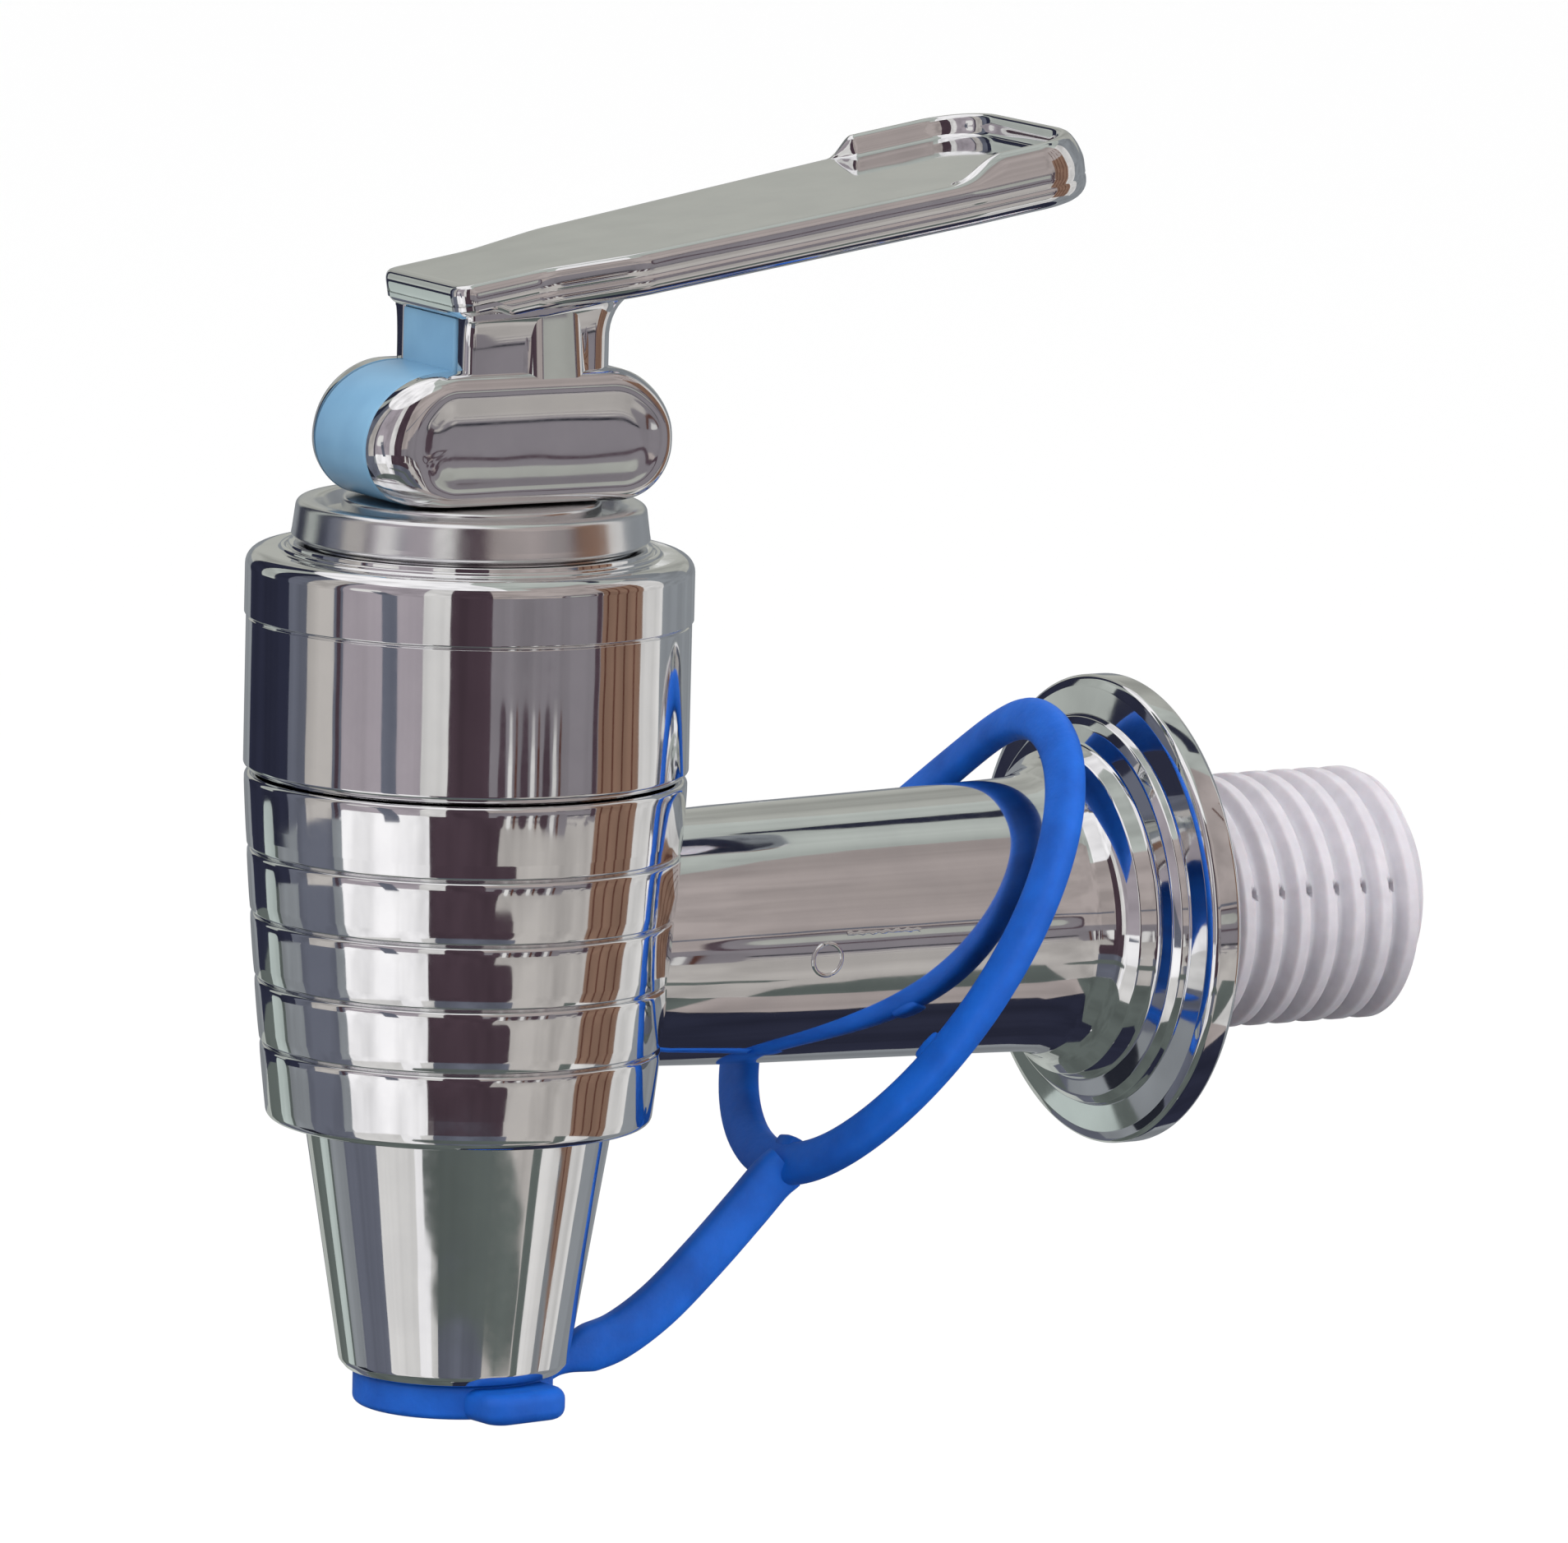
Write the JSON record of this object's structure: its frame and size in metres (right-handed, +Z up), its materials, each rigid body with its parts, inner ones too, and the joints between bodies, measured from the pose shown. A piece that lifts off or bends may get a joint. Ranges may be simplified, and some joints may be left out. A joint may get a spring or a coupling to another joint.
{
  "type": "dispenser tap",
  "caption": "Chrome-plated lever tap for a drinks dispenser: banded tapered barrel, spout with a blue stopper on a strap, flange and white threaded shank.",
  "frame": {"origin": "centre of the flange's back face, on the axis of the threaded shank", "axes": "+Y along the threaded shank into the wall it is fixed to, +Z up, +X to the right when the tap is seen from in front; the barrel stands at -Y"},
  "size_m": [0.0368, 0.0986, 0.0973],
  "materials": {
    "chrome_plating": "polished",
    "white_plastic": "satin",
    "blue_plastic": "satin",
    "blue_silicone": "satin",
    "seal_silicone": "matte",
    "seal_rubber": "matte",
    "spring_steel": "bright"
  },
  "bodies": {
    "fixed_parts": {"tap_body": "chrome_plating", "shank": "white_plastic", "shank_o_ring": "seal_rubber", "upper_cover": "chrome_plating", "cover_gasket": "seal_rubber", "bonnet": "chrome_plating", "bonnet_o_ring": "seal_rubber", "guide_bush": "white_plastic", "cap_strap": "blue_silicone"},
    "swivel_parts": {"swivel_washer": "white_plastic"},
    "valve_parts": {"stem": "white_plastic", "stem_o_ring": "seal_rubber", "valve_seal": "seal_silicone", "spring": "spring_steel"},
    "lever_parts": {"lever": "chrome_plating", "lever_core": "blue_plastic", "pivot_pin": "spring_steel"},
    "stopper_parts": {"spout_cap": "blue_silicone"}
  },
  "joints": [
    {"name": "lever_swivel", "type": "hinge", "parent": "fixed_parts", "child": "swivel_parts", "pos_m": [0, -0.05875, 0], "axis": [0, 0, 1], "continuous": true},
    {"name": "stem_lift", "type": "slide", "parent": "swivel_parts", "child": "valve_parts", "axis": [0, 0, 1], "range_m": [0, 0.0034], "deforming": ["spring"]},
    {"name": "lever_tilt", "type": "hinge", "parent": "valve_parts", "child": "lever_parts", "pos_m": [0, -0.05875, 0.0398], "axis": [-1, 0, 0], "range_deg": [0, 20], "stiffness_Nm_per_rad": 0.1106, "springref_deg": -42.23},
    {"name": "stopper_pull", "type": "slide", "parent": "fixed_parts", "child": "stopper_parts", "axis": [0, 0, -1], "range_m": [0, 0.006]}
  ],
  "couplings": [
    {"joint": "stem_lift", "follows": "lever_tilt", "m_per_rad": 0.0095}
  ]
}
